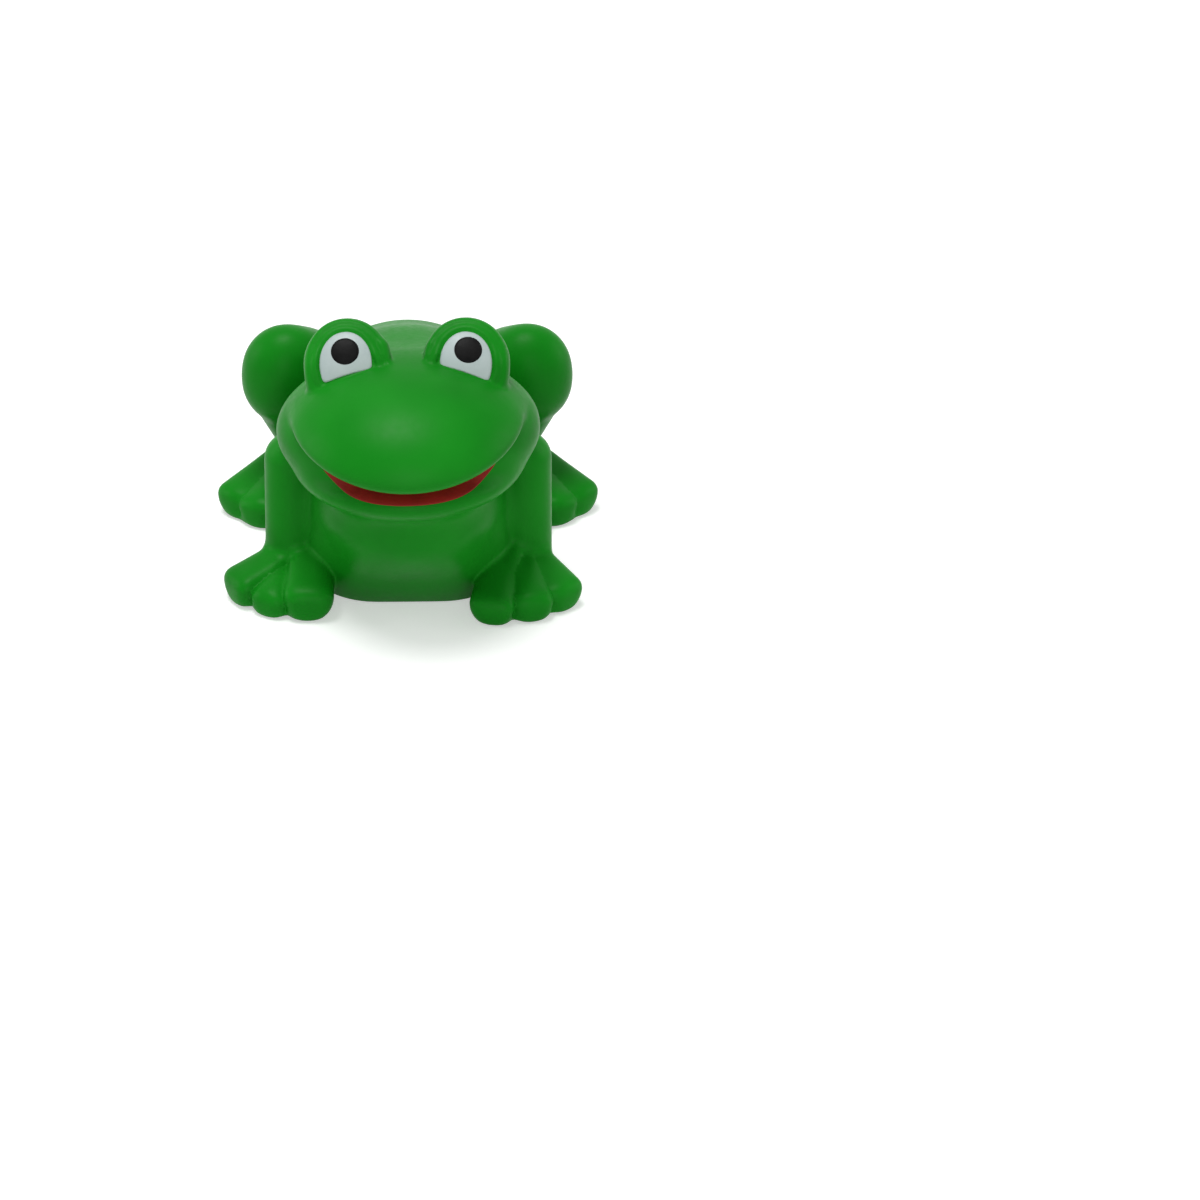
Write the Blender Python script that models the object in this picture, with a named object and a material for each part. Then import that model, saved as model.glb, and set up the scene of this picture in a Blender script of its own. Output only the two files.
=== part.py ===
"""A frog-shaped squeeze ball of soft polyurethane foam, sitting on its belly and four feet.

Units are metres, +Z is up, the frog faces -Y and its left side is +X.
The origin is on the flat belly face that it rests on.
The moulding is divided where it gives way when it is squeezed: a neck band under the head, and a
hip band inside each folded hind leg.
"""
import math

import bmesh
import bpy
from mathutils import Matrix, Vector

# Clearances and walls
CLEARANCE = 0.0003
SKIN = 0.0016
FILM = 0.0006

# Torso: overlapping lobes that make one full, rounded trunk; the rump is the widest of them
RUMP_HALF_WIDTH = 0.0240
RUMP_HALF_LENGTH = 0.0261
RUMP_HALF_HEIGHT = 0.0263
RUMP_Y = 0.0111
RUMP_Z = 0.0135
BELLY_NARROWING = 0.0006
BELLY_HALF_LENGTH = 0.0280
BELLY_HALF_HEIGHT = 0.0200
BELLY_Y = -0.0004
BELLY_Z = 0.0100
PAUNCH_NARROWING = 0.0037
PAUNCH_HALF_LENGTH = 0.0217
PAUNCH_HALF_HEIGHT = 0.0148
PAUNCH_Y = -0.0105
PAUNCH_Z = 0.0126
CHEST_NARROWING = 0.0056
CHEST_HALF_LENGTH = 0.0239
CHEST_HALF_HEIGHT = 0.0160
CHEST_Y = -0.0108
CHEST_Z = 0.0223
BACK_NARROWING = 0.0027
BACK_HALF_LENGTH = 0.0217
BACK_HALF_HEIGHT = 0.0220
BACK_Y = 0.0030
BACK_Z = 0.0214
THROAT_NARROWING = 0.0031
THROAT_HALF_LENGTH = 0.0180
THROAT_HALF_HEIGHT = 0.0105
THROAT_Y = -0.0180
THROAT_Z = 0.0294
NAPE_NARROWING = 0.0046
NAPE_HALF_LENGTH = 0.0200
NAPE_HALF_HEIGHT = 0.0165
NAPE_Y = -0.0060
NAPE_Z = 0.0303

# Neck band: two parallel planes, square to the way the head is pressed
NECK_LEAN = math.radians(30.5)
NECK_BAND = 0.0100
NECK_BACK_Y = 0.0050
NECK_BACK_Z = 0.0430

# Head: the snout overhangs the lower jaw, and both grow out of the skull
SKULL_HALF_WIDTH = 0.0237
SKULL_HALF_LENGTH = 0.0171
SKULL_HALF_HEIGHT = 0.0130
SKULL_AHEAD_OF_NAPE = 0.0125
SKULL_ABOVE_NAPE = 0.0044
SNOUT_HALF_WIDTH = 0.0219
SNOUT_HALF_LENGTH = 0.0212
SNOUT_HALF_HEIGHT = 0.0122
SNOUT_AHEAD_OF_SKULL = 0.0045
SNOUT_ABOVE_SKULL = 0.0019
JAW_HALF_WIDTH = 0.0200
JAW_SETBACK = 0.0026
JAW_HALF_HEIGHT = 0.0060
JAW_AHEAD_OF_SKULL = 0.0036
JAW_BELOW_SKULL = 0.0059

# Mouth: the snout is cut flat underneath, and the slope of the jaw below it is painted
MOUTH_BELOW_SNOUT = 0.0024
LIP_ABOVE_JAW = 0.0018
MOUTH_DEPTH = 0.0150

# Eye bumps, cut flat in front where the eye is painted
EYE_HALF_WIDTH = 0.0070
EYE_HALF_LENGTH = 0.0069
EYE_HALF_HEIGHT = 0.0074
EYE_SPACING = 0.0210
EYE_BEHIND_SKULL = 0.0028
EYE_ABOVE_SKULL = 0.0120
EYE_TILT = math.radians(47.0)
EYE_FLAT_DEPTH = 0.0052
WHITE_RADIUS = 0.0044
WHITE_CHORD = 0.0034
PUPIL_RADIUS = 0.0025
PUPIL_RISE = 0.0003

# Feet: how far the soles are pressed flat, and where the toes part from the pad
SOLE_FLAT = 0.0004
TOE_START = 0.0030

# Forelegs, from under the cheeks down the sides of the belly
FORELEG_INSET = 0.0021
SHOULDER_INSET = 0.0023
SHOULDER_Y = -0.0114
SHOULDER_Z = 0.0249
SHOULDER_RADIUS = 0.0049
WRIST_Y = -0.0130
WRIST_Z = 0.0073
WRIST_RADIUS = 0.0047
FOREFOOT_RADIUS = 0.0051
FOREFOOT_SETBACK = 0.0015
FOREFOOT_INSET = 0.0017
FORETOE_RADIUS = 0.0041
LEFT_FORETOE_LENGTHS = (0.0111, 0.0127, 0.0146)
LEFT_FORETOE_ANGLES = (-37.0, -7.0, 19.0)
RIGHT_FORETOE_LENGTHS = (0.0112, 0.0114, 0.0111)
RIGHT_FORETOE_ANGLES = (-60.0, -29.0, 4.0)

# Hind legs, folded: thigh up to the knee, shin down to the heel, foot forward
THIGH_INSET = 0.0107
THIGH_Y = 0.0249
THIGH_Z = 0.0169
THIGH_RADIUS = 0.0094
KNEE_INSET = 0.0011
KNEE_Y = 0.0158
KNEE_Z = 0.0294
KNEE_HALF_WIDTH = 0.0085
KNEE_HALF_LENGTH = 0.0069
KNEE_HALF_HEIGHT = 0.0093
KNEE_RADIUS = 0.0078
SHIN_DROP = 0.0046
SHIN_RADIUS = 0.0063
HEEL_INSET = 0.0064
HEEL_Y = 0.0268
HEEL_Z = 0.0050
HEEL_RADIUS = 0.0051
HINDFOOT_RADIUS = 0.0054
HINDFOOT_OUTSET = 0.0032
HINDFOOT_AHEAD = 0.0018
HINDTOE_RADIUS = 0.0043
HINDTOE_LENGTHS = (0.0159, 0.0168, 0.0189)
HINDTOE_ANGLES = (-44.5, -25.5, -5.7)

# Hip bands: slanted slabs of the flank, between the torso and the outer half of each hind leg
HIP_TURN = math.radians(26.5)
HIP_SPLIT = 0.0005
HIP_BAND = 0.0085

# Facets
BODY_SEGMENTS = 18
BODY_RINGS = 11
LIMB_SEGMENTS = 12
LIMB_RINGS = 8
FLAT_SEGMENTS = 24
CUTTER_SIZE = 0.2

SIDES = (("left", 1), ("right", -1))
COLOURS = {
    "skin": ((0.030, 0.250, 0.036), 0.45),
    "core": ((0.420, 0.560, 0.300), 0.90),
    "white": ((0.720, 0.780, 0.800), 0.40),
    "black": ((0.008, 0.008, 0.009), 0.30),
    "red": ((0.190, 0.008, 0.007), 0.45),
}


def clear_scene():
    """Removes every object, so that the script can be run again."""
    for old in list(bpy.data.objects):
        bpy.data.objects.remove(old, do_unlink=True)


def new_collection(name):
    """An empty collection in the scene."""
    group = bpy.data.collections.new(name)
    bpy.context.scene.collection.children.link(group)
    return group


def new_material(name):
    """A plain Principled material from the colour list."""
    colour, roughness = COLOURS[name]
    material = bpy.data.materials.new(name)
    material.use_nodes = True
    shader = material.node_tree.nodes["Principled BSDF"]
    shader.inputs["Base Color"].default_value = (*colour, 1.0)
    shader.inputs["Roughness"].default_value = roughness
    shader.inputs["Metallic"].default_value = 0.0
    return material


def mesh_object(name, shape):
    """Turns a bmesh into an object among the cutters."""
    mesh = bpy.data.meshes.new(name)
    shape.to_mesh(mesh)
    shape.free()
    body = bpy.data.objects.new(name, mesh)
    CUTTERS.objects.link(body)
    body.hide_render = True
    body.display_type = "WIRE"
    return body


def ball(centre, radii, inset=0.0):
    """An ellipsoid, shrunk all round by inset."""
    shape = bmesh.new()
    sizes = [radius - inset for radius in radii]
    place = Matrix.Translation(centre) @ Matrix.Diagonal((*sizes, 1.0))
    bmesh.ops.create_uvsphere(
        shape, u_segments=BODY_SEGMENTS, v_segments=BODY_RINGS, radius=1.0, matrix=place)
    return mesh_object("ball", shape)


def limb(start, start_radius, end, end_radius, inset=0.0):
    """A tapered limb: the hull of two spheres, shrunk all round by inset."""
    shape = bmesh.new()
    along = (end - start).to_track_quat("Z", "Y").to_matrix().to_4x4()
    for centre, radius in ((start, start_radius), (end, end_radius)):
        bmesh.ops.create_uvsphere(
            shape, u_segments=LIMB_SEGMENTS, v_segments=LIMB_RINGS,
            radius=radius - inset, matrix=Matrix.Translation(centre) @ along)
    bmesh.ops.delete(shape, geom=shape.edges[:] + shape.faces[:], context="EDGES_FACES")
    bmesh.ops.convex_hull(shape, input=shape.verts)
    inner = [vertex for vertex in shape.verts if not vertex.link_faces]
    bmesh.ops.delete(shape, geom=inner, context="VERTS")
    bmesh.ops.recalc_face_normals(shape, faces=shape.faces)
    return mesh_object("limb", shape)


def half_space(point, normal):
    """A large box that fills the side of a plane that its normal points to."""
    shape = bmesh.new()
    turn = Vector(normal).to_track_quat("Z", "Y").to_matrix().to_4x4()
    lift = Matrix.Translation((0, 0, CUTTER_SIZE / 2))
    bmesh.ops.create_cube(shape, size=CUTTER_SIZE, matrix=Matrix.Translation(point) @ turn @ lift)
    return mesh_object("half_space", shape)


def disc(place, radius, thickness):
    """A flat round plate that stands on the XY plane of place."""
    shape = bmesh.new()
    bmesh.ops.create_cone(
        shape, cap_ends=True, segments=FLAT_SEGMENTS, radius1=radius, radius2=radius, depth=thickness,
        matrix=place @ Matrix.Translation((0, 0, thickness / 2)))
    return mesh_object("disc", shape)


def carve(body, operation, cutter):
    """Applies one Boolean to body and removes the cutter."""
    step = body.modifiers.new(operation, "BOOLEAN")
    step.operation = operation
    step.solver = "EXACT"
    step.object = cutter
    bpy.context.view_layer.update()
    result = bpy.data.meshes.new_from_object(body.evaluated_get(bpy.context.evaluated_depsgraph_get()))
    body.modifiers.clear()
    body.data = result
    bpy.data.objects.remove(cutter, do_unlink=True)
    return body


def merge(solids):
    """Unites a list of solids into the first of them."""
    body = solids[0]
    for other in solids[1:]:
        carve(body, "UNION", other)
    return body


def lobe(y, z, narrowing, half_length, half_height):
    """An ellipsoid on the plane of symmetry, narrower than the rump, as a shape for a list."""
    return (ball, Vector((0, y, z)), (RUMP_HALF_WIDTH - narrowing, half_length, half_height))


def lobes(shapes, inset=0.0):
    """Builds the solids of a list of shapes and unites them."""
    return merge([maker(*sizes, inset=inset) for maker, *sizes in shapes])


def toes(root, root_radius, tip_radius, lengths, angles, side):
    """A foot: its pad and the toes fanned out from it; angles are from straight ahead."""
    shapes = [(ball, root, (root_radius, root_radius, root_radius))]
    for length, angle in zip(lengths, angles):
        turn = math.radians(angle)
        ahead = Vector((-math.sin(turn) * side, -math.cos(turn), 0))
        tip = root + ahead * length
        tip.z = tip_radius - SOLE_FLAT
        shapes.append((limb, root + ahead * TOE_START, root_radius, tip, tip_radius))
    return shapes


def finish(body, name, material, parent=None):
    """Names a finished solid, gives it its material and puts it among the parts."""
    body.name = name
    body.data.name = name
    body.data.materials.clear()
    body.data.materials.append(MATERIALS[material])
    body.data.shade_smooth()
    body.data.set_sharp_from_angle(angle=math.radians(40))
    body.hide_render = False
    body.display_type = "TEXTURED"
    CUTTERS.objects.unlink(body)
    PARTS.objects.link(body)
    if parent:
        body.parent = parent
        body.matrix_parent_inverse = parent.matrix_world.inverted()
    return body


def slide_empty(name, place):
    """An empty on a slide's axis, which carries the pieces that move on it."""
    empty = bpy.data.objects.new(name, None)
    empty.location = place
    PARTS.objects.link(empty)
    bpy.context.view_layer.update()
    return empty


clear_scene()
PARTS = new_collection("frog_stress_ball")
CUTTERS = new_collection("cutters")
MATERIALS = {name: new_material(name) for name in COLOURS}

# Places that follow from the driving dimensions
UP = Vector((0, 0, 1))
FLOOR = Vector((0, 0, 0))
neck_normal = Vector((0, -math.sin(NECK_LEAN), math.cos(NECK_LEAN)))
neck_top = Vector((0, NECK_BACK_Y, NECK_BACK_Z))
neck_bottom = neck_top - neck_normal * NECK_BAND
skull_centre = Vector((0, NAPE_Y - SKULL_AHEAD_OF_NAPE, NAPE_Z + SKULL_ABOVE_NAPE))
snout_centre = skull_centre + Vector((0, -SNOUT_AHEAD_OF_SKULL, SNOUT_ABOVE_SKULL))
snout_radii = (SNOUT_HALF_WIDTH, SNOUT_HALF_LENGTH, SNOUT_HALF_HEIGHT)
jaw_centre = skull_centre + Vector((0, -JAW_AHEAD_OF_SKULL, -JAW_BELOW_SKULL))
jaw_half_length = SNOUT_AHEAD_OF_SKULL + SNOUT_HALF_LENGTH - JAW_AHEAD_OF_SKULL - JAW_SETBACK
jaw_radii = (JAW_HALF_WIDTH, jaw_half_length, JAW_HALF_HEIGHT)
mouth_roof = snout_centre - UP * MOUTH_BELOW_SNOUT
mouth_back = Vector((0, snout_centre.y - SNOUT_HALF_LENGTH + MOUTH_DEPTH, 0))
lip_edge = jaw_centre + UP * LIP_ABOVE_JAW
foreleg_x = RUMP_HALF_WIDTH - FORELEG_INSET

RUMP = lobe(RUMP_Y, RUMP_Z, 0, RUMP_HALF_LENGTH, RUMP_HALF_HEIGHT)
BELLY = lobe(BELLY_Y, BELLY_Z, BELLY_NARROWING, BELLY_HALF_LENGTH, BELLY_HALF_HEIGHT)
PAUNCH = lobe(PAUNCH_Y, PAUNCH_Z, PAUNCH_NARROWING, PAUNCH_HALF_LENGTH, PAUNCH_HALF_HEIGHT)
CHEST = lobe(CHEST_Y, CHEST_Z, CHEST_NARROWING, CHEST_HALF_LENGTH, CHEST_HALF_HEIGHT)
BACK = lobe(BACK_Y, BACK_Z, BACK_NARROWING, BACK_HALF_LENGTH, BACK_HALF_HEIGHT)
THROAT = lobe(THROAT_Y, THROAT_Z, THROAT_NARROWING, THROAT_HALF_LENGTH, THROAT_HALF_HEIGHT)
NAPE = lobe(NAPE_Y, NAPE_Z, NAPE_NARROWING, NAPE_HALF_LENGTH, NAPE_HALF_HEIGHT)
SKULL = (ball, skull_centre, (SKULL_HALF_WIDTH, SKULL_HALF_LENGTH, SKULL_HALF_HEIGHT))
JAW = (ball, jaw_centre, jaw_radii)
TORSO = [RUMP, BELLY, PAUNCH, CHEST, BACK, THROAT, NAPE]


def snout(inset=0.0):
    """The snout, cut flat at the roof of the mouth."""
    dome = ball(snout_centre, snout_radii, inset)
    return carve(dome, "DIFFERENCE", half_space(mouth_roof + UP * inset, -UP))


def shoulder(side):
    """Middle of a shoulder, under the cheek."""
    return Vector((side * (SKULL_HALF_WIDTH - SHOULDER_INSET), SHOULDER_Y, SHOULDER_Z))


def foreleg_bone(side):
    """The straight part of a foreleg, from shoulder to wrist."""
    wrist = Vector((side * foreleg_x, WRIST_Y, WRIST_Z))
    return (limb, shoulder(side), SHOULDER_RADIUS, wrist, WRIST_RADIUS)


def forefoot(side):
    """The three toes of a forefoot. The right foot is turned out further than the left one."""
    root_x = side * (foreleg_x - FOREFOOT_INSET)
    root = Vector((root_x, WRIST_Y - FOREFOOT_SETBACK, FOREFOOT_RADIUS - SOLE_FLAT))
    lengths, angles = LEFT_FORETOE_LENGTHS, LEFT_FORETOE_ANGLES
    if side < 0:
        lengths, angles = RIGHT_FORETOE_LENGTHS, RIGHT_FORETOE_ANGLES
    return toes(root, FOREFOOT_RADIUS, FORETOE_RADIUS, lengths, angles, side)


def knee_centre(side):
    """Middle of a knee, the highest point of a hind leg."""
    return Vector((side * (RUMP_HALF_WIDTH - KNEE_INSET), KNEE_Y, KNEE_Z))


def thigh(side):
    """The thigh, from deep in the rump forward and up to the knee."""
    hip = Vector((side * (RUMP_HALF_WIDTH - THIGH_INSET), THIGH_Y, THIGH_Z))
    return (limb, hip, THIGH_RADIUS, knee_centre(side), KNEE_RADIUS)


def hind_leg(side):
    """Thigh, knee, shin and foot of a folded hind leg."""
    knee = knee_centre(side)
    shin_top = knee - UP * SHIN_DROP
    heel = Vector((side * (RUMP_HALF_WIDTH - HEEL_INSET), HEEL_Y, HEEL_Z))
    foot_x = heel.x + side * HINDFOOT_OUTSET
    foot_root = Vector((foot_x, HEEL_Y - HINDFOOT_AHEAD, HINDFOOT_RADIUS - SOLE_FLAT))
    shapes = [
        thigh(side),
        (ball, knee, (KNEE_HALF_WIDTH, KNEE_HALF_LENGTH, KNEE_HALF_HEIGHT)),
        (limb, shin_top, SHIN_RADIUS, heel, HEEL_RADIUS),
    ]
    return shapes + toes(foot_root, HINDFOOT_RADIUS, HINDTOE_RADIUS, HINDTOE_LENGTHS, HINDTOE_ANGLES, side)


def hip_plane(side, depth):
    """Point and outward normal of the plane that lies depth inside the leg's inner face."""
    normal = Vector((side * math.cos(HIP_TURN), math.sin(HIP_TURN), 0))
    return knee_centre(side) - normal * (HIP_SPLIT + depth), normal


def below_neck(body):
    """Cuts a body off at the lower plane of the neck band."""
    return carve(body, "DIFFERENCE", half_space(neck_bottom, neck_normal))


def on_floor(body, height=0.0):
    """Cuts a body flat at a height above the surface that the frog sits on."""
    return carve(body, "DIFFERENCE", half_space(FLOOR + UP * height, -UP))


def build_torso():
    """Skin shell of the torso, open where the foam bands join it, and the core inside."""
    cavity = on_floor(lobes(TORSO, SKIN), SKIN)
    skin = carve(lobes(TORSO + [thigh(side) for _, side in SIDES]), "DIFFERENCE", cavity)
    core = on_floor(lobes(TORSO, SKIN + CLEARANCE), SKIN + CLEARANCE)
    for body in (skin, core):
        below_neck(body)
        for _, side in SIDES:
            carve(body, "DIFFERENCE", half_space(*hip_plane(side, HIP_BAND)))
    finish(on_floor(skin), "torso_skin", "skin")
    finish(core, "torso_core", "core")


def build_foreleg(name, side):
    """One foreleg with its foot, moulded against the belly."""
    leg = lobes([foreleg_bone(side)] + forefoot(side))
    carve(leg, "DIFFERENCE", lobes(TORSO, -CLEARANCE))
    finish(on_floor(below_neck(leg)), f"{name}_foreleg", "skin")


def build_neck():
    """The soft band of throat, shoulders and neck between torso and head."""
    girdle = (limb, shoulder(1), SHOULDER_RADIUS, shoulder(-1), SHOULDER_RADIUS)
    forelegs = [foreleg_bone(side) for _, side in SIDES]
    band = lobes(TORSO + [SKULL, JAW, girdle] + forelegs)
    carve(band, "DIFFERENCE", half_space(neck_top - neck_normal * CLEARANCE, neck_normal))
    carve(band, "DIFFERENCE", half_space(neck_bottom + neck_normal * CLEARANCE, -neck_normal))
    finish(band, "neck_foam", "skin")


def eye_place(side, depth):
    """Frame of an eye's painted flat: Z out of the face, Y up along it, moved out by depth."""
    normal = Vector((0, -math.cos(EYE_TILT), math.sin(EYE_TILT)))
    centre = skull_centre + Vector((side * EYE_SPACING / 2, EYE_BEHIND_SKULL, EYE_ABOVE_SKULL))
    turn = Matrix.Rotation(math.pi / 2 - EYE_TILT, 4, "X")
    return centre, Matrix.Translation(centre + normal * (EYE_FLAT_DEPTH + depth)) @ turn, normal


def build_eye(name, side, slide):
    """The white and the pupil, two thin plates on the flat of an eye bump."""
    _, white_place, _ = eye_place(side, CLEARANCE)
    white = disc(white_place, WHITE_RADIUS, FILM)
    lower_edge = white_place @ Vector((0, -WHITE_CHORD, 0))
    down = white_place.to_3x3() @ Vector((0, -1, 0))
    carve(white, "DIFFERENCE", half_space(lower_edge, down))
    finish(white, f"{name}_eye_white", "white", slide)
    _, pupil_place, _ = eye_place(side, 2 * CLEARANCE + FILM)
    pupil = disc(pupil_place @ Matrix.Translation((0, PUPIL_RISE, 0)), PUPIL_RADIUS, FILM)
    finish(pupil, f"{name}_pupil", "black", slide)


def under_roof(body, gap):
    """Cuts a body off at the flat underside of the snout, a gap below it."""
    return carve(body, "DIFFERENCE", half_space(mouth_roof - UP * gap, UP))


def build_head(slide):
    """Head skin with snout, eye bumps and mouth, and the core inside."""
    skin = lobes([SKULL, JAW, (snout,)] + TORSO)
    for _, side in SIDES:
        centre, place, normal = eye_place(side, 0.0)
        bump = ball(centre, (EYE_HALF_WIDTH, EYE_HALF_LENGTH, EYE_HALF_HEIGHT))
        carve(bump, "DIFFERENCE", half_space(place.translation, normal))
        carve(skin, "UNION", bump)
    inside = [SKULL, (snout,)] + TORSO
    carve(skin, "DIFFERENCE", lobes(inside, SKIN))
    core = lobes(inside, SKIN + CLEARANCE)
    for body in (skin, core):
        carve(body, "DIFFERENCE", half_space(neck_top, -neck_normal))
    finish(skin, "head_skin", "skin", slide)
    finish(core, "head_core", "core", slide)


def build_mouth_lining(slide):
    """The painted film on the slope of the jaw, under the snout."""
    lining = under_roof(lobes([JAW], -CLEARANCE - FILM), CLEARANCE)
    carve(lining, "DIFFERENCE", lobes([JAW], -CLEARANCE))
    carve(lining, "DIFFERENCE", half_space(lip_edge, -UP))
    carve(lining, "DIFFERENCE", half_space(mouth_back, (0, 1, 0)))
    carve(lining, "DIFFERENCE", lobes([SKULL], -CLEARANCE))
    finish(lining, "mouth_lining", "red", slide)


def build_hind_leg(name, side, slide):
    """One folded hind leg outside its hip band, and the band itself."""
    leg = lobes(hind_leg(side))
    inner_point, outward = hip_plane(side, 0.0)
    carve(leg, "DIFFERENCE", half_space(inner_point, -outward))
    finish(on_floor(leg), f"{name}_hind_leg", "skin", slide)
    band = lobes(TORSO + hind_leg(side))
    near_point, _ = hip_plane(side, CLEARANCE)
    far_point, _ = hip_plane(side, HIP_BAND - CLEARANCE)
    carve(band, "DIFFERENCE", half_space(near_point, outward))
    carve(band, "DIFFERENCE", half_space(far_point, -outward))
    finish(on_floor(below_neck(band)), f"{name}_hip_foam", "skin")


build_torso()
build_neck()
head_slide = slide_empty("head_slide", neck_top)
build_head(head_slide)
build_mouth_lining(head_slide)
for side_name, side_sign in SIDES:
    build_eye(side_name, side_sign, head_slide)
    build_foreleg(side_name, side_sign)
    leg_slide = slide_empty(f"{side_name}_leg_slide", hip_plane(side_sign, 0.0)[0])
    build_hind_leg(side_name, side_sign, leg_slide)
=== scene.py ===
"""Foam frog squeeze ball: visible forms, materials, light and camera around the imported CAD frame."""
import math

import bpy
import numpy as np
from mathutils import Matrix, Vector
from mathutils.geometry import delaunay_2d_cdt


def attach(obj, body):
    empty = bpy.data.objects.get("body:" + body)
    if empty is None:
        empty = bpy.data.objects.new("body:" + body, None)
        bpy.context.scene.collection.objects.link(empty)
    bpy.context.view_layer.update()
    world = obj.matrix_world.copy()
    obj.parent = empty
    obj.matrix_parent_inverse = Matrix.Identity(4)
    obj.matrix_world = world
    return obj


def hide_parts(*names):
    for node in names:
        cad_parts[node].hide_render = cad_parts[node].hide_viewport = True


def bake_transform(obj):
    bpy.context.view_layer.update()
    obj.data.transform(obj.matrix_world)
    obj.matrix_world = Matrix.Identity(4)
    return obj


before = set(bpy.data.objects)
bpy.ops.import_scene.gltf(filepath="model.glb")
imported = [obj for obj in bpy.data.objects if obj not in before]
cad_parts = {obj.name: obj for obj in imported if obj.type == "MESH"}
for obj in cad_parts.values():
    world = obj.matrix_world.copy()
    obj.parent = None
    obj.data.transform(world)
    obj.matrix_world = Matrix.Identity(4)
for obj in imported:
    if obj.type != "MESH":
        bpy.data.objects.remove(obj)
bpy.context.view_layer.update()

MM = 0.001
REAL = np.float32

# The forms, in millimetres. The frog faces -Y, its left is +X, the floor is Z = 0.
# A pair (centre, radii) is an ellipsoid; a pair (point, radius) is the ball at the end of a tapered limb.
# A name in BLEND or ROUND is the width over which two forms run into each other.
# A pair named X, Y, Z, IN or OUT is where a change along that axis starts and ends.

# Torso
RUMP = ((0, 12.87, 13.65), (23.60, 24.15, 25.48))
RUMP_PITCH = 0.96
BELLY = ((0, -3.71, 9.25), (15.62, 19.60, 15.94))
BELLY_FLATS = (6.79, 0, 0)
BELLY_BLEND = 8
PAUNCH = ((0, -7.0, 8.0), (11.0, 24.2, 7.9))
PAUNCH_FLATS = (6.0, 0, 9.0)
PAUNCH_BASE = 0.58  # share of its depth at the floor
PAUNCH_FULL = 19.0  # height where it has its full depth
PAUNCH_BOW = 1.5  # power of the curve between them
PAUNCH_BLEND = 5
CHEST = ((0, -10.0, 20.5), (17.5, 24.0, 12.5))
CHEST_BLEND = 4
NAPE = ((0, -1.59, 29.55), (18.51, 15.28, 16.17))
NAPE_BLEND = 8
FLAT_SOFT = 2.0  # how softly a flat stretch ends
BASE_ROUND = 0.6

# Head
SKULL = ((0, -18.48, 34.72), (23.70, 17.11, 13.02))
SKULL_PITCH = 1.76
SNOUT = ((0, -23.03, 36.57), (21.86, 21.40, 12.17))
SNOUT_PITCH = 5.29
SNOUT_CREASE = 0.7
SNOUT_CREASE_MORE = 0.5
SNOUT_CREASE_Z = (36, 44)
JAW = ((0, -22.09, 28.78), (19.64, 19.33, 5.81))
JAW_PITCH = -3.04
JAW_BLEND = 3
LIP_Z = 34.21
LIP_RISE = 2.12
LIP_RISE_AT = 16.0
LIP_SLOPE = 0.053
LIP_SLOPE_FROM = -40
LIP_ROUND = 2.5
HEAD_ROLL = math.radians(1.4)
HEAD_PIVOT = 38.0
HEAD_BLEND = 3.2
THROAT_BLEND = 3.0
THROAT_X = (5, 15)
NECK_BLEND = 3.0
NECK_Y = (-22, -4)

# Eyes: in their own axes across, up along the painted face, and out of it. Sides are 1 left, -1 right.
EYE = (10.48, -16.15, 46.31)
EYE_TILT = math.radians(47.0)
EYE_BALL = (6.8, 6.8, 8.4)
EYE_BALL_AHEAD = 1.5
EYE_BLEND = 0.7
EYE_FACE_HEIGHT = 6.5
EYE_FACE_RADIUS = 11.3
EYE_FACE_MID = 0.2
EYE_FACE_SINK = 0.2
EYE_FACE_ROUND = 0.5
ARCH_OFFSET = {1: -0.15, -1: 0.45}
ARCH_SPRING = -2.05
ARCH_RADIUS = 4.75
ARCH_RISE = 0.8
ARCH_DROP = 0.8
LID_RADIUS = {1: 1.2, -1: 1.05}
LID_BITE = 0.05  # overlap of the lid with the painted face
LID_SINK = 0.3
LID_SINK_LOW = 0.5
LID_SINK_LOW_IN = (2, 6)
LID_SINK_TOP = 0.55
LID_SINK_TOP_IN = (-2, 2)
LID_REACH = 9.0  # how far down the lid goes
LID_FLARE = 0.3
LID_FLARE_TOP = -0.3  # where the inner end of the lid starts to flare
LID_WEDGE = (((3.0, -0.5, 1.6), 3.8), ((5.0, -6.2, 1.9), 1.5))
LID_WEDGE_BLEND = 1.5
LID_TAIL = (((-5.6, 1.2, 4.3), 1.0), ((-6.8, -2.4, 4.5), 0.7))
LID_TAIL_BLEND = 0.5
LID_BLEND = 0.4
LID_BLEND_MORE = 3.0
LID_BLEND_OUT = (0, 1.5)

# Forelegs
SHOULDER = ((21.44, -11.43, 24.87), 4.90)
WRIST = ((21.89, -12.99, 7.26), 4.70)
WRIST_BLEND = 1.6
FORE_ROOT = ((19.55, -15.0), 5.27)
LEFT_FORE_TOES = ((27.2, -23.1, 4.1), (22.0, -26.6, 4.15), (15.5, -27.7, 4.15))
RIGHT_FORE_TOES = ((29.7, -19.9, 4.25), (25.0, -24.3, 3.85), (18.6, -25.2, 4.6))
FORELEG_BLEND = 1.0
FORELEG_BLEND_MORE = 1.5
FORELEG_BLEND_Z = (9, 16)

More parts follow.
